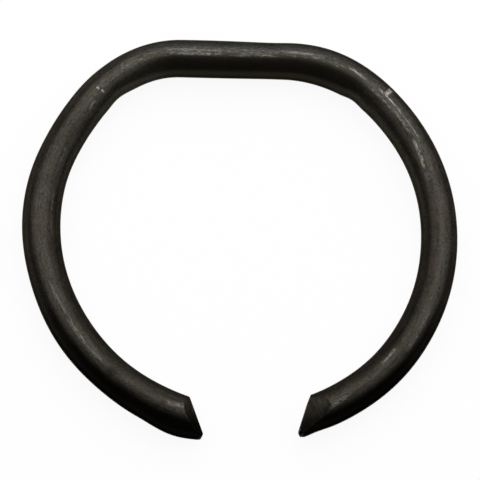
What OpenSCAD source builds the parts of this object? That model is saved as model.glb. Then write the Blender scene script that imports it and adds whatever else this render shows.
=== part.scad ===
// Round-wire retaining ring: one length of spring-steel wire, bent into an open ring with
// a straight side and nipped off at both ends. It springs into a groove round a shaft.
// The ring lies flat, with the middle of its round part at the origin, its axis along Z,
// its straight side towards +Y and its gap towards -Y. Sizes are in millimetres and degrees.

/* [Wire] */
// Diameter of the round wire
wire_d = 5; // [4:0.1:6]

/* [Ring] */
// Inside diameter of the round part, with the ring relaxed
bore_d = 49.2; // [45:0.1:60]
// How far the straight side lies inside the circle of the round part
flat_depth = 2.7; // [1.5:0.1:5]
// Inside radius of the bend left of the straight side
left_bend_r = 11.2; // [7:0.1:17]
// Inside radius of the bend right of the straight side
right_bend_r = 15.6; // [7:0.1:17]
// How much thinner the wire is in the bends, where it was stretched
bend_thinning = 0.02; // [0.02:0.01:0.1]

/* [Gap] */
// Width of the gap between the ends, at the middle of the wire
gap_w = 14.1; // [10:0.1:20]
// Turn of the gap to the right, away from straight opposite the straight side
gap_turn = 1.6; // [-3:0.1:3]

/* [Nipped ends] */
// Angle between the ridge across each end and the Y axis
cut_angle = 19; // [5:1:30]
// Slope of the two faces that meet in the left end's ridge
left_slope = 57; // [35:1:75]
// Slope of the two faces that meet in the right end's ridge
right_slope = 42; // [35:1:75]
// Length worn off the left tip
left_wear = 0.2; // [0.1:0.05:0.6]
// Length worn off the right tip
right_wear = 0.35; // [0.1:0.05:0.6]

/* [Spread end] */
// How far the outer side of the left end was spread by the cut
spread_reach = 0.45; // [0.2:0.05:0.8]
// Radius of the spread side, seen from above
spread_r = 11.2; // [8:0.1:15]
// Distance along the wire from the left ridge back to the middle of the spread side
spread_back = 3.2; // [2:0.1:5]
// How much thinner than the wire the spread side is
spread_relief = 0.4; // [0.2:0.05:0.8]

/* [Forming marks] */
// Depth of the flat spots that the forming pins left on the inside
mark_depth = 0.2; // [0.05:0.05:0.4]
// Direction of the left flat spot, measured from the cross axis of the ring
left_mark_a = 48; // [40:1:56]
// Direction of the right flat spot, measured from the cross axis of the ring
right_mark_a = 50; // [40:1:56]
// Diameter of the pin that left the left flat spot
left_pin_d = 12; // [5:0.5:14]
// Diameter of the pin that left the right flat spot
right_pin_d = 7; // [5:0.5:14]

/* [Hidden] */
$fn = 96;

ring_r = (bore_d + wire_d) / 2;
outer_r = bore_d / 2 + wire_d;
flat_y = ring_r - flat_depth;

// The thinner wire of a bend runs on this far inside its neighbours
lap = 0.2;
// The wire first runs on past each cut, and each cutter reaches well clear of the wire
overrun = wire_d;
cutter = 2 * wire_d;

half_gap_a = asin(gap_w / 2 / ring_r);
left_end_a = half_gap_a - gap_turn;
right_end_a = half_gap_a + gap_turn;

// The spread side starts inside the round wire, this many degrees before it comes out
spread_root_a = 8;
spread_d = wire_d - spread_relief;
spread_x = outer_r + spread_reach - spread_r;
spread_a = spread_root_a
    + acos((pow(outer_r, 2) - pow(spread_x, 2) - pow(spread_r, 2)) / (2 * spread_x * spread_r));

// Angle of a stretch of wire bent to radius r, from its length along the middle of the wire
function arc_a(length, r) = length / r * 180 / PI;

// Middle of a bend whose wire is centred on radius r, tangent to the straight side and the round part
function bend_x(r) = sqrt(flat_depth * (2 * ring_r - flat_depth - 2 * r));
function bend_y(r) = flat_y - r;
function bend_a(r) = atan2(bend_y(r), bend_x(r));

// Distance from the ring's middle to the inside of the wire, in the direction a of a bend
function on_bend(r, a) = bend_x(r) * cos(a) + bend_y(r) * sin(a);
function off_bend(r, a) = bend_y(r) * cos(a) - bend_x(r) * sin(a);
function bend_wall(r, a) = on_bend(r, a) + sqrt(pow(r - wire_d / 2, 2) - pow(off_bend(r, a), 2));
function wall_r(r, a) = a < bend_a(r) ? bore_d / 2 : bend_wall(r, a);

// Length of the ridge from the middle of the wire out to its tip
function ridge_reach(a) = sqrt(pow(outer_r, 2) - pow(ring_r * sin(a), 2)) - ring_r * cos(a);

// Round wire bent about the Z axis, between two angles
module bent_wire(r, from, to, d = wire_d) {
    rotate([0, 0, from])
        rotate_extrude(angle = to - from)
            translate([r, 0])
                circle(d = d);
}

// The round part and the bend of the right half
module half_wire(r, end_a) {
    bent_wire(ring_r, end_a - 90 - arc_a(overrun, ring_r), bend_a(r));
    translate([bend_x(r), bend_y(r), 0])
        bent_wire(r, bend_a(r) - arc_a(lap, r), 90 + arc_a(lap, r), wire_d - bend_thinning);
}

// The straight side, between the two bends
module straight_side() {
    left_x = bend_x(left_bend_r + wire_d / 2);
    right_x = bend_x(right_bend_r + wire_d / 2);
    translate([-left_x, flat_y, 0])
        rotate([0, 90, 0])
            cylinder(h = left_x + right_x, d = wire_d);
}

// Places its children on the ridge across an end: X along the ridge to the tip, Y into the wire
module on_ridge(end_a) {
    rotate([0, 0, end_a])
        translate([0, -ring_r, 0])
            rotate([0, 0, -90 - cut_angle - end_a])
                children();
}

// What the nippers took: all that lies past two sloping faces that meet in the ridge
module nipped_off(end_a, slope) {
    on_ridge(end_a)
        for (face = [0, 1])
            mirror([0, 0, face])
                rotate([slope, 0, 0])
                    translate([-cutter, -cutter, 0])
                        cube([2 * cutter, 2 * cutter, cutter]);
}

// What is worn off a tip, down to a flat square to the Y axis
module worn_off(end_a, wear) {
    on_ridge(end_a)
        translate([ridge_reach(end_a + cut_angle) - wear, 0, 0])
            rotate([0, 0, cut_angle])
                translate([0, -cutter, -cutter])
                    cube([cutter, 2 * cutter, 2 * cutter]);
}

// The pin that pressed a flat spot into the inside of a bend
module forming_pin(r, mark_a, pin_d) {
    rotate([0, 0, mark_a])
        translate([wall_r(r, mark_a) + mark_depth - pin_d / 2, 0, 0])
            cylinder(h = 2 * wire_d, d = pin_d, center = true);
}

// The outer side of an end that the cut has spread, as a tighter bend inside the round wire
module spread_side(end_a) {
    rotate([0, 0, end_a - 90 + arc_a(spread_back, ring_r)])
        translate([spread_x, 0, 0])
            bent_wire(spread_r - spread_d / 2, -spread_a, spread_a, spread_d);
}

// A finished half, as the right half, with any swelling of its end as children
module half_ring(bend_r, end_a, slope, wear, mark_a, pin_d) {
    r = bend_r + wire_d / 2;
    difference() {
        union() {
            half_wire(r, end_a);
            children();
        }
        nipped_off(end_a, slope);
        worn_off(end_a, wear);
        forming_pin(r, mark_a, pin_d);
    }
}

// The whole ring, dark from its oil-blackened finish
module retaining_ring() {
    color("#3a342d")
        union() {
            straight_side();
            half_ring(right_bend_r, right_end_a, right_slope, right_wear, right_mark_a, right_pin_d);
            mirror([1, 0, 0])
                half_ring(left_bend_r, left_end_a, left_slope, left_wear, left_mark_a, left_pin_d)
                    spread_side(left_end_a);
        }
}

retaining_ring();
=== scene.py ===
# %% [markdown]
# # A round-wire retaining ring
#
# The real object is one length of spring-steel wire, 5 mm thick. A machine bent it into an open ring
# with one straight side, nippers cut it off at both ends, and hot oil blackened it. Sprung into a groove
# round a shaft, it keeps a wheel or a lever from sliding off.
#
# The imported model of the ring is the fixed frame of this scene. Its box gives the main sizes, so the
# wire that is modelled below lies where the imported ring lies.

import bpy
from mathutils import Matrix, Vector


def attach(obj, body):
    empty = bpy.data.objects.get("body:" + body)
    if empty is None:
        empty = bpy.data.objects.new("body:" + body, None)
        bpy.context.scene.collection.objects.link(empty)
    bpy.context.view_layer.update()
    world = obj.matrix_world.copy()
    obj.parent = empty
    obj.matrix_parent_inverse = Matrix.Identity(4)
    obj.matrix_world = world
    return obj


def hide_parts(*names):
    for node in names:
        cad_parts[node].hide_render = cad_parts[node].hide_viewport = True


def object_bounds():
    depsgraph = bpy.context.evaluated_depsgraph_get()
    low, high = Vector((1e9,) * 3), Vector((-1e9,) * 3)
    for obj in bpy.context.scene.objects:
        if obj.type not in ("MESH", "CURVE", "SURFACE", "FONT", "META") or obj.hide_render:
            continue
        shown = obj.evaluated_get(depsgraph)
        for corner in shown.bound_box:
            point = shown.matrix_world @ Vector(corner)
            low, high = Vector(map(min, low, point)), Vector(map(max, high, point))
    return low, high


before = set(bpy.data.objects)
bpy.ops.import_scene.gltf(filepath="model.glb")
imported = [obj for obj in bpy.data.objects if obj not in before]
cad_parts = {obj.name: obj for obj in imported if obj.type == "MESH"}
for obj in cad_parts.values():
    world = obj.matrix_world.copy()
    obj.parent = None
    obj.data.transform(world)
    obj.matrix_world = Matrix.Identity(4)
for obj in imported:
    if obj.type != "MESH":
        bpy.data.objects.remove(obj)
cad_low, cad_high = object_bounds()
print("packed ring:", [round(side, 5) for side in cad_high - cad_low], "metres")

# %% [markdown]
# ## The path of the wire
#
# The wire is modelled in millimetres and turned into metres at the end, because the numbers are easier
# to read and the cutting tools are more exact on them. The path has five stretches: a round half, a
# bend, the straight side, another bend and the other round half. Each bend is tangent to the straight
# side and to the ring's circle, and that alone fixes its middle, so only the radii are given. They
# differ, as they may where a wire is bent one end after the other.

# %% Sizes of the path
import math

from mathutils import Vector

mm = 0.001
quarter = math.pi / 2
wire_r = (cad_high.z - cad_low.z) / 2 / mm
ring_r = cad_high.x / mm - wire_r
flat_y = cad_high.y / mm - wire_r
flat_depth = ring_r - flat_y


class Bend:
    """A bend between the straight side and the right (side 1) or left (side -1) half of the ring."""

    def __init__(self, side, inside_r):
        self.side = side
        self.radius = inside_r + wire_r
        across = math.sqrt(flat_depth * (2 * ring_r - flat_depth - 2 * self.radius))
        self.middle = Vector((side * across, flat_y - self.radius, 0))
        self.end_a = math.atan2(self.middle.y, across)
        self.start = across
        self.end = across + self.radius * (quarter - self.end_a)


bends = {1: Bend(1, inside_r=15.6), -1: Bend(-1, inside_r=11.2)}
print(f"wire radius {wire_r:.3f} mm, ring radius {ring_r:.3f} mm, straight side at y {flat_y:.2f} mm")
for bend in bends.values():
    print(f"bend from {bend.side * bend.start:.2f} mm to {bend.side * bend.end:.2f} mm along the wire")

# %% [markdown]
# ## Along the wire and back
#
# Marks and scratches are easiest to place by their distance along the wire, counted from the middle of
# the straight side with the right half as plus. One function below goes from that distance to the ring,
# and one goes back: it unbends a point of the ring, and tells how far outwards and up the point lies
# from the wire's middle.

# %% Two ways between the straight and the bent wire


def on_wire(along):
    """The middle of the wire at a distance along it, and the level direction outwards from there."""
    bend = bends[1 if along > 0 else -1]
    run = abs(along)
    if run < bend.start:
        return Vector((along, flat_y, 0)), Vector((0, 1, 0))
    if run < bend.end:
        angle = quarter - (run - bend.start) / bend.radius
        out = Vector((bend.side * math.cos(angle), math.sin(angle), 0))
        return bend.middle + bend.radius * out, out
    angle = bend.end_a - (run - bend.end) / ring_r
    out = Vector((bend.side * math.cos(angle), math.sin(angle), 0))
    return ring_r * out, out


def unbend(place):
    """Where a point of the ring lies on the straight wire: along it, outwards and up."""
    bend = bends[1 if place.x > 0 else -1]
    level = Vector((bend.side * place.x, place.y))
    from_bend = level - Vector((bend.start, bend.middle.y))
    angle = math.atan2(from_bend.y, from_bend.x)
    if from_bend.x < 0 and place.y > 0:
        return Vector((place.x, place.y - flat_y, place.z))
    if angle > bend.end_a:
        run = bend.start + bend.radius * (quarter - angle)
        return Vector((bend.side * run, from_bend.length - bend.radius, place.z))
    turn = (bend.end_a - math.atan2(level.y, level.x)) % math.tau
    return Vector((bend.side * (bend.end + ring_r * turn), level.length - ring_r, place.z))


for along in (-70, -12, 3, 40):
    back = unbend(on_wire(along)[0])
    print(f"{along} mm along the wire comes back as {back.x:.3f} mm")

# %% [markdown]
# ## The first section
#
# The sweep of the wire starts with one circle, the wire's round section. It stands upright at the right
# end, square to the wire. A short cylinder could be the start as well, but its lid would be left inside
# the wire. The path runs a little past both ends, so that there is something to nip off later. The gap
# isn't quite opposite the straight side: it is turned a little to the right.

# %% Stand a circle at the right end
import bmesh
from mathutils import Matrix

section_sides = 48
end_overrun = 5.0
gap_width = 14.1
gap_turn = math.radians(1.6)
half_gap_a = math.asin(gap_width / 2 / ring_r)
right_end = bends[1].end + ring_r * (bends[1].end_a + quarter - half_gap_a - gap_turn)
left_end = -bends[-1].end - ring_r * (bends[-1].end_a + quarter - half_gap_a + gap_turn)

wire = bmesh.new()
start, start_out = on_wire(right_end + end_overrun)
rim = bmesh.ops.create_circle(wire, segments=section_sides, radius=wire_r)["verts"]
bmesh.ops.rotate(wire, verts=rim, matrix=Matrix.Rotation(quarter, 3, "X"))
bmesh.ops.rotate(wire, verts=rim, matrix=Matrix.Rotation(math.atan2(start_out.y, start_out.x), 3, "Z"))
bmesh.ops.translate(wire, verts=rim, vec=start)
rim = wire.verts[:] + wire.edges[:]
print(f"the wire ends at {right_end:.2f} mm and {left_end:.2f} mm")

# %% [markdown]
# ## Bending the wire
#
# A curve object with a round bevel would give the wire in one step, but its sections are only as even as
# its points. Here the circle is swept along the path, as the wire runs through the bending machine:
# `spin` turns the open rim of the tube about the middle of each bend, and for the straight side it moves
# the rim along instead. `spin` slows down as the mesh grows, so the sweep is coarse, and one round of
# `subdivide_edges` makes it fine.

# %% Sweep the circle along the ring
section_step = 0.5


def bend_on(rim, middle, radius, length):
    """Bends the wire on from its open rim about an upright axis, and gives back the new rim."""
    steps = round(length / section_step)
    turn = length / radius
    made = bmesh.ops.spin(wire, geom=rim, cent=middle, axis=(0, 0, 1), angle=turn, steps=steps)
    return made["geom_last"]


def run_on(rim, way):
    """Runs the wire straight on from its open rim, and gives back the new rim."""
    steps = round(way.length / section_step)
    made = bmesh.ops.spin(wire, geom=rim, axis=(0, 0, 1), dvec=way / steps, angle=0, steps=steps)
    return made["geom_last"]


rim = bend_on(rim, Vector(), ring_r, right_end + end_overrun - bends[1].end)
rim = bend_on(rim, bends[1].middle, bends[1].radius, bends[1].end - bends[1].start)
rim = run_on(rim, Vector((-bends[1].start - bends[-1].start, 0, 0)))
rim = bend_on(rim, bends[-1].middle, bends[-1].radius, bends[-1].end - bends[-1].start)
rim = bend_on(rim, Vector(), ring_r, end_overrun - left_end - bends[-1].end)
bmesh.ops.subdivide_edges(wire, edges=wire.edges, cuts=1, use_grid_fill=True)
bmesh.ops.recalc_face_normals(wire, faces=wire.faces)
print(f"swept wire: {len(wire.verts)} vertices, {len(wire.faces)} faces")

# %% [markdown]
# ## An uneven wire
#
# No bent wire is quite even. Where the machine gripped it, its sides are swollen or pressed in by a
# tenth of a millimetre or two, which the eye reads as a slightly angular ring. Two short hollows are
# from the pins that held the inside of the bends, and the last three entries are the outer sides of the
# ends, pushed about by the cut. Each entry is a smooth hump along the wire that moves the outer and the
# inner side by its own amount, and leaves the top and bottom alone. A sculpting brush could do the same,
# but a list can be read and changed.

# %% Swell the sides
swellings = [
    {"along": 63, "reach": 8, "outer": 0.07, "inner": -0.06},
    {"along": 34, "reach": 12, "outer": 0.04, "inner": -0.12},
    {"along": 12, "reach": 9, "outer": 0.22, "inner": 0.14},
    {"along": -5, "reach": 14, "outer": 0.19, "inner": 0.06},
    {"along": -19.5, "reach": 6, "outer": 0.10, "inner": -0.13},
    {"along": -28, "reach": 8, "outer": -0.14, "inner": 0.14},
    {"along": -41, "reach": 12, "outer": 0.18, "inner": 0.01},
    {"along": -58, "reach": 12, "outer": 0.15, "inner": 0.08},
    {"along": -72, "reach": 9, "outer": 0.18, "inner": 0.10},
    {"along": 17.7, "reach": 2.4, "outer": 0.0, "inner": -0.22},
    {"along": -19.0, "reach": 3.2, "outer": 0.0, "inner": -0.22},
    {"along": 77.2, "reach": 1.7, "outer": 0.12, "inner": 0.0},
    {"along": 74.9, "reach": 2.2, "outer": -0.07, "inner": 0.0},
    {"along": -75.9, "reach": 5.2, "outer": 0.47, "inner": 0.0},
]


def hump(distance, reach):
    """1 in the middle, falling smoothly to 0 at the reach."""
    return (1 + math.cos(math.pi * min(abs(distance) / reach, 1))) / 2


for vert in wire.verts:
    spot = unbend(vert.co)
    shares = [(hump(spot.x - swelling["along"], swelling["reach"]), swelling) for swelling in swellings]
    grown = sum(share * swelling["outer" if spot.y > 0 else "inner"] for share, swelling in shares)
    vert.co += on_wire(spot.x)[1] * grown * spot.y / wire_r
print(f"{len(swellings)} swellings, up to {max(swelling['outer'] for swelling in swellings)} mm")

# %% [markdown]
# ## Room for a nick and a dent
#
# Something hard has hit the ring twice: it cut a nick across the outer side of the right bend, and left
# a small dent on the top of the left one. Both are narrower than the rows of faces. A finer mesh
# everywhere would be wasteful, so `bisect_plane` adds a few cross-sections just there.

# %% Add cross-sections
section_snap = 0.02
section_reach = wire_r + 1
hits = [
    {"along": 21.12, "half": 0.36, "wall": 0.12, "first": 30, "last": 80, "fade": 5, "depth": 0.16},
    {"along": -21.25, "half": 0.4, "wall": 0.3, "first": 82, "last": 101, "fade": 7, "depth": 0.1},
]


def faces_near(place, reach):
    """The faces of the wire that lie near a place."""
    return [face for face in wire.faces if (face.calc_center_median() - place).length < reach]


def parts_of(faces):
    """The corners, edges and faces of some faces, each once, for an operator."""
    edges = dict.fromkeys(edge for face in faces for edge in face.edges)
    verts = dict.fromkeys(vert for face in faces for vert in face.verts)
    return list(verts) + list(edges) + list(faces)


def add_section(along):
    """Adds a cross-section to the wire."""
    place, out = on_wire(along)
    tangent = Vector((-out.y, out.x, 0))
    near = parts_of(faces_near(place, section_reach))
    bmesh.ops.bisect_plane(wire, geom=near, dist=section_snap, plane_co=place, plane_no=tangent)


for hit in hits:
    for step in (-1, 1):
        for half in (hit["half"], hit["half"] - hit["wall"]):
            add_section(hit["along"] + step * half)
print(f"with cross-sections at the nick and the dent: {len(wire.verts)} vertices")

# %% [markdown]
# ## Pressing the nick and the dent in
#
# The vertices between the new cross-sections move towards the middle of the wire. Each mark has a depth,
# half a width with a wall at its edge, and a stretch round the wire in degrees, which is counted from
# the outer side upwards and fades at both ends. A bump map would only shade the marks, while real
# hollows also break the edge of a highlight.

# %% Press the marks in


def ramp(value, width):
    """0 below zero and 1 above the width, with a straight rise between them."""
    return min(max(value / width, 0), 1)


for hit in hits:
    pressed = 0
    for vert in wire.verts:
        spot = unbend(vert.co)
        turn = math.degrees(math.atan2(spot.z, spot.y))
        across = ramp(hit["half"] - abs(spot.x - hit["along"]), hit["wall"])
        share = across * ramp(turn - hit["first"], hit["fade"]) * ramp(hit["last"] - turn, hit["fade"])
        if share > 0:
            middle = on_wire(spot.x)[0]
            vert.co += (middle - vert.co).normalized() * hit["depth"] * share
            pressed += 1
    print("vertices pressed in:", pressed)

# %% [markdown]
# ## Nipping the ends
#
# The cutter squeezed the wire from above and below, and left a sloping face on each side. Between them
# the wire broke off upright. `bisect_plane` makes the same cuts: everything past the plane goes, and one
# flat face closes the hole. A Boolean with a block would work too, but it needs a second object.
#
# In the list, `back` shortens the wire a little, `cut` is the angle of the break seen from above, and
# `land` is half its height. `slope` is how steeply the sloping faces fall, and `twist` turns them about
# the vertical. `outer_r`, `tip_r` and `edge` are for the two steps that follow. Lengths are in
# millimetres, and angles in degrees.

# %% Cut the ends
cut_snap = 0.04
end_reach = 9.0
up = Vector((0, 0, 1))
ends = [
    {"side": 1, "along": right_end, "back": 0.07, "cut": 19.0, "land": 1.37, "slope": 18.8, "twist": 21.1,
     "outer_r": 29.63, "tip_r": 0.7, "edge": 0.15},
    {"side": -1, "along": left_end, "back": 0.14, "cut": 20.1, "land": 0.95, "slope": 44.0, "twist": 6.0,
     "outer_r": 29.66, "tip_r": 0.48, "edge": 0.2},
]


def nip(middle, point, normal):
    """Cuts off what lies past a plane near one end, and closes the cut with one flat face."""
    near = parts_of(faces_near(middle, end_reach))
    cut = bmesh.ops.bisect_plane(wire, geom=near, dist=cut_snap, plane_co=point, plane_no=normal,
                                 use_snap_center=True, clear_outer=True)
    border = [item for item in cut["geom_cut"] if isinstance(item, bmesh.types.BMEdge)]
    if not border:
        return 0
    return len(bmesh.ops.contextual_create(wire, geom=border)["faces"])


def break_of(end):
    """The middle of the upright break at an end, and the level direction out of it."""
    cut_angle = math.radians(end["cut"])
    cut_out = Vector((-end["side"] * math.cos(cut_angle), math.sin(cut_angle), 0))
    return on_wire(end["along"])[0] - end["back"] * cut_out, cut_out


for end in ends:
    middle, cut_out = break_of(end)
    slope = math.radians(end["slope"])
    downhill = Matrix.Rotation(end["side"] * math.radians(end["twist"]), 3, "Z") @ cut_out
    flats = nip(middle, middle, cut_out)
    for above in (1, -1):
        normal = above * math.cos(slope) * up + math.sin(slope) * downhill
        flats += nip(middle, middle + above * end["land"] * up, normal)
    print("faces cut at an end:", flats)

# %% [markdown]
# ## Rounding the tips
#
# The outermost tips of both ends are worn round. A few more upright cuts take each tip off like strokes
# of a file. Each cut is tangent to a small circle of the radius `tip_r`, which touches the break and
# the outer side of the ring at `outer_r`. A bevel would have to run through the many short edges there,
# and cuts are safer.

# %% Round the tips
tip_strokes = (0.15, 0.35, 0.55, 0.75)


def round_tip(end):
    """Rounds the tip of an end with upright cuts round a small circle."""
    middle, cut_out = break_of(end)
    ridge = Matrix.Rotation(end["side"] * quarter, 3, "Z") @ cut_out
    inner = middle - end["tip_r"] * cut_out
    reach = inner.dot(ridge)
    step = math.sqrt(reach ** 2 - inner.length_squared + (end["outer_r"] - end["tip_r"]) ** 2) - reach
    centre = inner + step * ridge
    turn = cut_out.xy.angle_signed(centre.xy)
    made = 0
    for share in tip_strokes:
        out = Matrix.Rotation(-share * turn, 3, "Z") @ cut_out
        made += nip(middle, centre + end["tip_r"] * out, out)
    return made


for end in ends:
    print("flats on the tip:", round_tip(end))

# %% [markdown]
# ## Softening the cut edges
#
# No cut edge is perfectly sharp, and this one also went through the blackening bath. A narrow bevel
# along all the edges of the cuts catches the light as the real edges do. The edges are found by the
# angle between their faces, so nothing has to be picked by hand.

# %% Soften the cut edges
sharp_a = math.radians(12)
for end in ends:
    near = parts_of(faces_near(on_wire(end["along"])[0], end_reach))
    edges = [item for item in near if isinstance(item, bmesh.types.BMEdge)]
    sharp = [edge for edge in edges if edge.is_manifold and edge.calc_face_angle() > sharp_a]
    bmesh.ops.bevel(wire, geom=sharp, offset=end["edge"], offset_type="OFFSET", segments=3, profile=0.5,
                    affect="EDGES", clamp_overlap=True, material=-1)
    print(f"bevelled {len(sharp)} edges")
print("open edges:", sum(not edge.is_manifold for edge in wire.edges))

# %% [markdown]
# ## The same split each run
#
# A flat face with many corners is split into triangles when it is drawn, from its first corner on. The
# cutting tools don't begin a face at the same corner each run, and another split shifts the finish on the
# cuts a little. So every such face is made anew, from the corner that comes first along a slanting
# direction, in which corners seldom tie.

# %% Begin the faces with many corners alike
quad_corners = 4
slant = Vector((1, 2, 3))
many_cornered = [face for face in wire.faces if len(face.verts) > quad_corners]
for face in many_cornered:
    corners = face.verts[:]
    first = corners.index(min(corners, key=lambda vert: vert.co.dot(slant)))
    wire.faces.remove(face)
    wire.faces.new(corners[first:] + corners[:first])
print("faces begun anew:", len(many_cornered))

# %% [markdown]
# ## The wire as an object
#
# The finish has lines that run along the wire, so its material needs to know where each point lay while
# the wire was still straight. The unbent place of each vertex is stored on the mesh as an attribute, in
# millimetres. A UV map could hold two of its three numbers, and would need a seam. The cut faces, known
# by their many corners, get a material slot of their own.

# %% Make the object
import bpy

cut_corners = 12
straight = wire.verts.layers.float_vector.new("straight_wire")
for vert in wire.verts:
    vert[straight] = unbend(vert.co)
for face in wire.faces:
    is_cut = len(face.verts) >= cut_corners
    face.smooth = not is_cut
    face.material_index = int(is_cut)
bmesh.ops.scale(wire, vec=(mm, mm, mm), verts=wire.verts)
mesh = bpy.data.meshes.new("bent_wire")
wire.to_mesh(mesh)
wire.free()
bent_wire = bpy.data.objects.new("bent_wire", mesh)
bpy.context.scene.collection.objects.link(bent_wire)
triangles = sum(len(polygon.vertices) - 2 for polygon in mesh.polygons)
print(f"bent wire: {len(mesh.vertices)} vertices, {triangles} triangles")

# %% [markdown]
# ## Writing shaders as expressions
#
# Node trees are hard to read as code, so one small class wraps a socket. Sums and products of such
# sockets add Math nodes by themselves, and one method makes every other kind of node.

# %% Sockets in expressions


class Shade:
    """A socket of a node tree that can stand in an expression."""

    def __init__(self, tree, socket=None):
        self.tree = tree
        self.socket = socket

    def node(self, kind, settings, sockets, output=0):
        """Adds a node: its type, its settings, its sockets' values or links, and the output to use."""
        made = self.tree.nodes.new(kind)
        for name, value in settings.items():
            setattr(made, name, value)
        for name, value in sockets.items():
            if isinstance(value, Shade):
                self.tree.links.new(value.socket, made.inputs[name])
            else:
                made.inputs[name].default_value = value
        if made.outputs:
            return Shade(self.tree, made.outputs[output])

    def math(self, operation, *values):
        """Adds a Math node on some values or sockets."""
        return self.node("ShaderNodeMath", {"operation": operation}, dict(enumerate(values)))

    def __add__(self, other):
        return self.math("ADD", self, other)

    def __sub__(self, other):
        return self.math("SUBTRACT", self, other)

    def __rsub__(self, other):
        return self.math("SUBTRACT", other, self)

    def __mul__(self, other):
        return self.math("MULTIPLY", self, other)

    def __abs__(self):
        return self.math("ABSOLUTE", self)

    __radd__ = __add__
    __rmul__ = __mul__


print("operators of a socket: + - * abs")

# %% [markdown]
# ## Tools for the materials
#
# A few steps come back in every material: a soft threshold, a blend of two colours, a noise that is
# stretched along the wire, and the metal at the end. On a dark metal, the rim would normally shine like
# a mirror. The tint of the shader keeps it as dark as on the real ring.

# %% Helpers for materials
edge_tint = (0.42, 0.415, 0.40, 1)


def new_material(name):
    """An empty node material, and its tree ready for expressions."""
    material = bpy.data.materials.new(name)
    material.use_nodes = True
    material.node_tree.nodes.clear()
    return material, Shade(material.node_tree)


def smooth_step(value, low, high):
    """0 below low and 1 above high, with a soft rise between them."""
    limits = {"Value": value, "From Min": low, "From Max": high}
    return value.node("ShaderNodeMapRange", {"interpolation_type": "SMOOTHSTEP"}, limits)


def strongest(first, second):
    """The larger of two values."""
    return first.math("MAXIMUM", first, second)


def mix_colour(factor, first, second):
    """Blends two colours. The colour sockets of a Mix node are its inputs 6 and 7 and its output 2."""
    return factor.node("ShaderNodeMix", {"data_type": "RGBA"}, {0: factor, 6: first, 7: second}, 2)


def noise(place, scale, detail, roughness):
    """Noise from 0 to 1. The scale is in lumps per millimetre: along, outwards and up."""
    stretched = place.node("ShaderNodeMapping", {"vector_type": "POINT"}, {"Vector": place, "Scale": scale})
    settings = {"Vector": stretched, "Scale": 1.0, "Detail": detail, "Roughness": roughness}
    return place.node("ShaderNodeTexNoise", {"noise_dimensions": "3D"}, settings)


def metal_output(tree, colour, metallic, roughness, relief):
    """Ends a material in a metal. What isn't metallic in it is matt. The relief is in millimetres."""
    normal = tree.node("ShaderNodeBump", {}, {"Height": relief, "Distance": mm, "Strength": 1.0})
    surface = tree.node("ShaderNodeBsdfPrincipled", {}, {
        "Base Color": colour, "Metallic": metallic, "Roughness": roughness, "Normal": normal,
        "Specular IOR Level": 0.0, "Specular Tint": edge_tint})
    tree.node("ShaderNodeOutputMaterial", {}, {"Surface": surface})


print("rim tint:", edge_tint[:3])

# %% [markdown]
# ## The colours of the skin
#
# Hot oil leaves a thin brown-black skin on the steel. It isn't even: it varies between a dark and a
# light tone, it is rubbed to a more neutral grey on the straight side, and a few stains are brown or
# blue. Soot is what stayed thick and black, and bare steel is what shows where the skin is gone. The
# near-black of the soot and the dark tone of the skin also serve as painted shade. The wire and its cut
# ends share these colours, so they are named once, here, and not typed into nodes.

# %% Colours
dark_skin_and_shade = (0.0168, 0.0143, 0.0100, 1)
light_skin = (0.0570, 0.0530, 0.0455, 1)
rubbed_skin = (0.0555, 0.0552, 0.0540, 1)
brown_skin = (0.036, 0.027, 0.019, 1)
blue_skin = (0.070, 0.077, 0.086, 1)
soot_and_shade = (0.003, 0.0026, 0.0022, 1)
bare_steel = (0.30, 0.285, 0.255, 1)
print(f"bare steel is {bare_steel[0] / dark_skin_and_shade[0]:.0f} times as bright as the darkest skin")

# %% [markdown]
# ## Scratches
#
# A ring that has been handled has fine scratches, mostly along the wire. Each one is a straight line on
# the unrolled wire: its ends are given along the wire in millimetres and round it in degrees, counted
# from the outer side upwards. A painted image could hold them too, but a list stays sharp at any
# distance and needs no file.

# %% Scratches
degree = wire_r * math.pi / 180
scratches = [
    {"start": (19.8, 81), "end": (24.9, 83), "width": 0.22, "strength": 0.8},
    {"start": (24.6, 83), "end": (29.2, 81), "width": 0.18, "strength": 0.4},
    {"start": (28.2, 99), "end": (33.3, 107), "width": 0.40, "strength": 0.6},
    {"start": (17.9, 99), "end": (28.2, 98), "width": 0.30, "strength": 0.35},
    {"start": (14.8, 77), "end": (18.0, 85), "width": 0.30, "strength": 0.5},
    {"start": (5.6, 78), "end": (11.2, 79), "width": 0.35, "strength": 0.35},
    {"start": (-1.0, 95), "end": (5.4, 93), "width": 0.30, "strength": 0.3},
    {"start": (-2.0, 78), "end": (-10.0, 78), "width": 0.28, "strength": 0.2},
    {"start": (-2.4, 92), "end": (-9.5, 93), "width": 0.32, "strength": 0.3},
    {"start": (-22.6, 106), "end": (-24.6, 110), "width": 0.25, "strength": 0.5},
    {"start": (-30.4, 111), "end": (-34.7, 116), "width": 0.20, "strength": 0.15},
    {"start": (-37.0, 118), "end": (-44.4, 117), "width": 0.22, "strength": 0.13},
    {"start": (-50.0, 82), "end": (-54.4, 88), "width": 0.35, "strength": 0.2},
    {"start": (-53.0, 88), "end": (-64.6, 88), "width": 0.40, "strength": 0.25},
    {"start": (-73.2, 92), "end": (-76.2, 106), "width": 0.60, "strength": 0.2},
    {"start": (73.6, 79), "end": (69.4, 91), "width": 0.45, "strength": 0.3},
    {"start": (64.0, 105), "end": (60.4, 108), "width": 0.35, "strength": 0.3},
    {"start": (60.5, 76), "end": (52.8, 82), "width": 0.45, "strength": 0.2},
]


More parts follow.
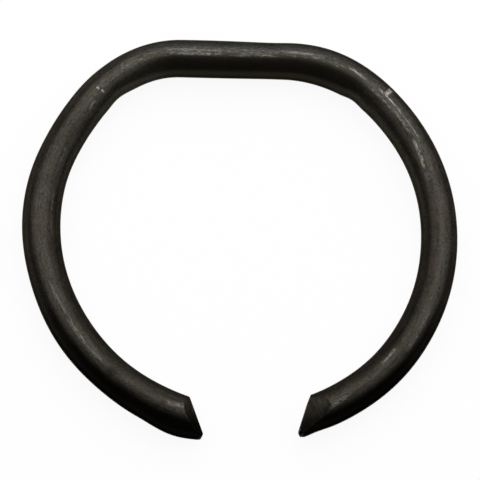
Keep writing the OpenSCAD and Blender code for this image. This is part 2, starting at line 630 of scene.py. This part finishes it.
def scratch_mask(along, arc, start, end, width, strength):
    """How strongly a straight scratch shows, with soft ends."""
    slope = (end[1] - start[1]) * degree / (end[0] - start[0])
    half_length = abs(end[0] - start[0]) / 2
    offset = abs(arc - slope * (along - start[0]) - start[1] * degree)
    inside = smooth_step(half_length - abs(along - (start[0] + end[0]) / 2), 0, 0.4 * half_length)
    return strength * inside * (1 - smooth_step(offset, 0.1 * width, 0.9 * width))


print(f"{len(scratches)} scratches, one degree round the wire is {degree:.4f} mm")

# %% [markdown]
# ## Bare spots and stains
#
# The nick and the edges of the dent are down to bare steel. Stains are soft ovals in which the skin is
# mixed with another colour: long light ones along the top, which make the highlight there brighter, and
# small brown, blue and black ones. All of them are placed like the scratches. They could be painted on
# the vertices, but the smallest are narrower than a few faces, so a formula draws each one.

# %% Bare spots and stains
bare_spots = [
    {"along": 21.12, "turn": 60, "half": 0.34, "reach": 0.9, "strength": 1.0},
    {"along": -21.16, "turn": 84, "half": 0.17, "reach": 0.24, "strength": 0.6},
    {"along": -21.0, "turn": 101, "half": 0.14, "reach": 0.26, "strength": 0.6},
]
stains = [
    {"along": 43.0, "turn": 80, "length": 20.0, "width": 1.1, "colour": light_skin, "share": 0.35},
    {"along": 23.5, "turn": 76, "length": 9.0, "width": 1.0, "colour": rubbed_skin, "share": 0.45},
    {"along": 2.0, "turn": 70, "length": 14.0, "width": 0.9, "colour": rubbed_skin, "share": 0.2},
    {"along": -19.0, "turn": 90, "length": 9.0, "width": 9.0, "colour": light_skin, "share": 0.3},
    {"along": -46.0, "turn": 76, "length": 20.0, "width": 1.2, "colour": light_skin, "share": 0.18},
    {"along": -42.4, "turn": 122, "length": 2.4, "width": 2.4, "colour": brown_skin, "share": 0.3},
    {"along": 47.3, "turn": 103, "length": 1.6, "width": 1.6, "colour": brown_skin, "share": 0.3},
    {"along": 39.7, "turn": 106, "length": 1.8, "width": 1.8, "colour": brown_skin, "share": 0.3},
    {"along": -21.4, "turn": 92, "length": 0.5, "width": 0.5, "colour": soot_and_shade, "share": 0.6},
    {"along": -65.2, "turn": 84, "length": 1.0, "width": 1.0, "colour": soot_and_shade, "share": 0.6},
    {"along": 34.2, "turn": 107, "length": 0.9, "width": 0.6, "colour": blue_skin, "share": 0.4},
]


def spot_mask(along, arc, spot):
    """How bare a spot is: its strength inside, and 0 around it."""
    inside = 1 - smooth_step(abs(along - spot["along"]), 0.7 * spot["half"], 1.2 * spot["half"])
    offset = abs(arc - spot["turn"] * degree)
    return spot["strength"] * inside * (1 - smooth_step(offset, 0.8 * spot["reach"], 1.1 * spot["reach"]))


def stain_mask(along, arc, stain):
    """The full share in the middle of an oval stain, fading to 0."""
    away = along.math("POWER", (1 / stain["length"]) * (along - stain["along"]), 2.0)
    round_it = along.math("POWER", (1 / stain["width"]) * (arc - stain["turn"] * degree), 2.0)
    return stain["share"] * (1 - smooth_step(away + round_it, 0.0, 1.0))


print(f"{len(bare_spots)} bare spots and {len(stains)} stains")

# %% [markdown]
# ## The unworn skin
#
# The colour goes from dark to light with an uneven noise. On the straight side the skin is rubbed on
# top, and shade is painted just inside of it, where the highlight ends. More painted shade, near-black,
# lies on the outer side of the two ends, and a little on the inside of the round halves. The stains come
# last. A material for each stretch would leave hard borders between them, so soft masks blend the
# colours within one.

# %% Colour of the unworn skin


def stretch(along, middle, full, gone):
    """1 up to a distance from a middle along the wire, fading to 0 where it is gone."""
    return 1 - smooth_step(abs(along - middle), full, gone)


def skin_colour(along, out, arc, uneven, grain):
    """The colour of the skin before any wear, with painted shade on some sides."""
    flat = stretch(along, middle=2.0, full=9.0, gone=20.0)
    skin = smooth_step(uneven, 0.35, 0.76)
    colour = mix_colour(skin, dark_skin_and_shade, mix_colour(flat, light_skin, rubbed_skin))
    # Painted shade: the skin just inside the top of the straight side is darkened, so the highlight ends
    # there.
    inside = smooth_step(abs(arc), 84 * degree, 98 * degree)
    colour = mix_colour(0.85 * flat * inside, colour, dark_skin_and_shade)
    # Painted shade, near-black: the outer side of the ends, and weaker on the inside of the round halves.
    painted_end_shade = smooth_step(abs(along), 38.0, 66.0) * smooth_step(out, 0.3, 1.5)
    painted_inner_shade = smooth_step(abs(along), 25.0, 55.0) * smooth_step(0 - out, 0.0, 1.0)
    colour = mix_colour(strongest(0.95 * painted_end_shade, 0.32 * painted_inner_shade), colour, soot_and_shade)
    for stain in stains:
        mask = stain_mask(along, arc, stain) * smooth_step(grain, 0.3, 0.55)
        colour = mix_colour(mask, colour, stain["colour"])
    return colour


print("the skin mixes", len(stains), "stains into four tones")

# %% [markdown]
# ## Wear
#
# Rings rub against each other in a box, so the crest of the wire is worn to fine flecks, most of all
# round the straight side. Scratches and bare spots are added to them. A ragged noise breaks all of them
# up, because a clean line would look painted.

# %% Worn places


def wear(place, along, arc, zone):
    """How far the skin is worn down to bare steel, from 0 to 1."""
    crest = 1 - smooth_step(abs(abs(arc) - 80 * degree), 0.3, 1.0)
    flecks = noise(place, scale=(1.3, 5.5, 5.5), detail=2, roughness=0.5)
    ragged = noise(place, scale=(1.6, 7.0, 7.0), detail=3, roughness=0.65)
    worn = 0.2 * crest * (0.25 + 0.75 * zone) * smooth_step(flecks, 0.56, 0.72)
    for scratch in scratches:
        mask = scratch_mask(along, arc, **scratch)
        worn = strongest(worn, mask * smooth_step(ragged, 0.42, 0.60))
    for spot in bare_spots:
        worn = strongest(worn, spot_mask(along, arc, spot) * smooth_step(ragged, 0.30, 0.50))
    return worn


print("the wear has", len(scratches) + len(bare_spots), "marks of its own, and flecks on the crest")

# %% [markdown]
# ## The blackened finish
#
# The die that drew the wire left long fine lines, and the skin over them is streaky, mottled and
# grainy. All of this follows the wire, so it reads the straight-wire attribute. The skin is treated
# mostly as a dark metal, because nearly all the light that comes off it is reflected. A fifth of it is
# matt, which lends the shaded side its brown.

# %% The finish of the wire


def blackened_wire():
    """The worn, oil-blackened skin of the drawn wire."""
    material, tree = new_material("blackened_wire")
    place = tree.node("ShaderNodeAttribute", {"attribute_name": "straight_wire"}, {}, "Vector")
    along, out, height = (place.node("ShaderNodeSeparateXYZ", {}, {0: place}, axis) for axis in "XYZ")
    arc = wire_r * along.math("ARCTAN2", height, out)
    lines = noise(place, scale=(0.03, 2.4, 2.4), detail=4, roughness=0.6)
    streaks = noise(place, scale=(0.3, 3.6, 3.6), detail=3, roughness=0.6)
    mottle = noise(place, scale=(0.35, 0.45, 0.45), detail=4, roughness=0.6)
    grain = noise(place, scale=(2.6, 4.4, 4.4), detail=3, roughness=0.7)
    uneven = 0.1 * lines + 0.25 * streaks + 0.2 * mottle + 0.45 * grain
    zone = stretch(along, middle=4.0, full=12.0, gone=34.0)
    worn = wear(place, along, arc, zone)
    colour = mix_colour(worn, skin_colour(along, out, arc, uneven, grain), bare_steel)
    roughness = 0.31 + 0.10 * mottle - 0.05 * zone + 0.14 * worn
    relief = 0.004 * lines + 0.012 * streaks + 0.010 * grain
    metal_output(tree, colour, metallic=0.8, roughness=roughness, relief=relief)
    return material


mesh.materials.append(blackened_wire())
print("nodes in the finish of the wire:", len(mesh.materials[0].node_tree.nodes))

# %% [markdown]
# ## The nipped faces
#
# A nipped face is rougher than drawn wire: the blade smeared the steel across it before it broke. These
# faces were blackened with the rest, and they are made darker towards their outer half. The smears run
# across the wire, while the lines of the skin run along it, so the cuts have a material of their own.

# %% The finish of the cuts


def nipped_steel():
    """The smeared and blackened steel of the cuts."""
    material, tree = new_material("nipped_steel")
    place = tree.node("ShaderNodeAttribute", {"attribute_name": "straight_wire"}, {}, "Vector")
    out = place.node("ShaderNodeSeparateXYZ", {}, {0: place}, "Y")
    smears = noise(place, scale=(2.5, 0.4, 2.5), detail=3, roughness=0.6)
    mottle = noise(place, scale=(0.8, 0.8, 0.8), detail=4, roughness=0.6)
    skin = smooth_step(0.5 * smears + 0.5 * mottle, 0.40, 0.80)
    colour = mix_colour(skin, dark_skin_and_shade, light_skin)
    # Darker towards the outer half of each cut.
    colour = mix_colour(0.9 * smooth_step(out, -1.2, 1.6), colour, soot_and_shade)
    roughness = 0.5 + 0.2 * mottle
    relief = 0.02 * smears + 0.03 * mottle
    metal_output(tree, colour, metallic=1.0, roughness=roughness, relief=relief)
    return material


mesh.materials.append(nipped_steel())
print("materials of the bent wire:", [material.name for material in mesh.materials])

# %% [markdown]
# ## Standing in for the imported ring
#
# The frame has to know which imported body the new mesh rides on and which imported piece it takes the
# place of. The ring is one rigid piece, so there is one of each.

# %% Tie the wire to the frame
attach(bent_wire, "root")
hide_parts("retaining_ring")
print("the bent wire stands for the packed ring")

# %% [markdown]
# ## Floor
#
# The ring lies on a plain white floor. A white surface that glows by itself would be simple, but
# nothing throws a shadow on it, and paper that is lit to white would need too much light on the ring. So
# the floor shows its own white to the camera and to reflections, and a small part of its lit surface is
# mixed in, which keeps a soft shadow.

# %% Floor
floor_radius = 3.0
floor_sides = 64
white_share = 0.93
paper_colour = (0.85, 0.85, 0.85, 1)


def white_floor():
    """White in the picture, with a part of the shadow that falls on it."""
    material, tree = new_material("white_floor")
    kinds = ("Is Camera Ray", "Is Glossy Ray", "Is Transmission Ray")
    seen = sum(tree.node("ShaderNodeLightPath", {}, {}, kind) for kind in kinds)
    paper = tree.node("ShaderNodeBsdfDiffuse", {}, {"Color": paper_colour})
    white = tree.node("ShaderNodeEmission", {}, {"Color": (1, 1, 1, 1), "Strength": 1.0})
    surface = tree.node("ShaderNodeMixShader", {}, {0: white_share * seen, 1: paper, 2: white})
    tree.node("ShaderNodeOutputMaterial", {}, {"Surface": surface})
    return material


sheet = bmesh.new()
bmesh.ops.create_circle(sheet, cap_ends=True, segments=floor_sides, radius=floor_radius)
bmesh.ops.translate(sheet, verts=sheet.verts, vec=(0, 0, cad_low.z))
floor_mesh = bpy.data.meshes.new("floor")
sheet.to_mesh(floor_mesh)
sheet.free()
floor_mesh.materials.append(white_floor())
floor = bpy.data.objects.new("floor", floor_mesh)
bpy.context.scene.collection.objects.link(floor)
print(f"floor at {cad_low.z / mm:.2f} mm, under the wire")

# %% [markdown]
# ## Light
#
# Dark metal shows what is around it more than the light that falls on it, and small lamps would show
# in it as bright points. Two soft boxes lay a bright band along the top of the wire instead: a tall one
# to the right and the back, and a broad one over the left. They overlap above the straight side, which
# is the brightest. Everything else above the floor is left a dark grey, so that, with the shade painted
# on them, the outer sides of the ends, towards the camera, go nearly black.

# %% Light
panel_distance = 0.5
surroundings = (0.12, 0.12, 0.12, 1)


def add_panel(name, tilt_x, tilt_y, width, height, turn, radiance):
    """A soft box at a tilt from the vertical, facing the ring. A mirror would show its radiance."""
    lamp = bpy.data.lights.new(name, "AREA")
    lamp.shape = "RECTANGLE"
    lamp.size = width
    lamp.size_y = height
    lamp.energy = math.pi * radiance * width * height
    panel = bpy.data.objects.new(name, lamp)
    bpy.context.scene.collection.objects.link(panel)
    towards = Vector((math.tan(math.radians(tilt_x)), math.tan(math.radians(tilt_y)), 1)).normalized()
    across = Vector((0, 1, 0)).cross(towards).normalized()
    facing = Matrix((across, towards.cross(across), towards)).transposed()
    turned = facing @ Matrix.Rotation(math.radians(turn), 3, "Z")
    panel.matrix_world = Matrix.Translation(towards * panel_distance) @ turned.to_4x4()
    panel.visible_camera = False
    print(f"{name}: {width} by {height} m, {lamp.energy:.2f} W")


add_panel("right_box", tilt_x=34, tilt_y=47, width=1.33, height=0.62, turn=-78, radiance=1.35)
add_panel("left_box", tilt_x=-17, tilt_y=26, width=0.84, height=0.47, turn=28, radiance=2.2)
world = bpy.data.worlds.new("studio")
world.use_nodes = True
world.node_tree.nodes["Background"].inputs["Color"].default_value = surroundings
bpy.context.scene.world = world

# %% [markdown]
# ## Camera
#
# The photograph was taken with a long lens from above, a little from the front and the left, and the
# camera was rolled so that the straight side lies level in the picture. The angles and the distance
# were found by fitting the ring's outline. They are turned into a place and a direction here, because
# they say more to a reader than a matrix.

# %% Camera
camera_data = bpy.data.cameras.new("camera")
camera_data.lens = 206.5
camera_data.sensor_width = 36
camera_data.clip_start = 0.01
camera_data.clip_end = 10
camera = bpy.data.objects.new("camera", camera_data)
bpy.context.scene.collection.objects.link(camera)
aim = Vector((-0.297, -1.493, 0)) * mm
distance = 373 * mm
azimuth = math.radians(-21.04)
elevation = math.radians(72.25)
roll = math.radians(21.11)
level = math.cos(elevation)
back = Vector((math.sin(azimuth) * level, -math.cos(azimuth) * level, math.sin(elevation)))
look = (-back).to_track_quat("-Z", "Y").to_matrix() @ Matrix.Rotation(roll, 3, "Z")
camera.matrix_world = Matrix.Translation(aim + back * distance) @ look.to_4x4()
bpy.context.scene.camera = camera
bpy.context.scene.view_settings.view_transform = "Standard"
print("camera at", [round(x, 4) for x in camera.matrix_world.translation])
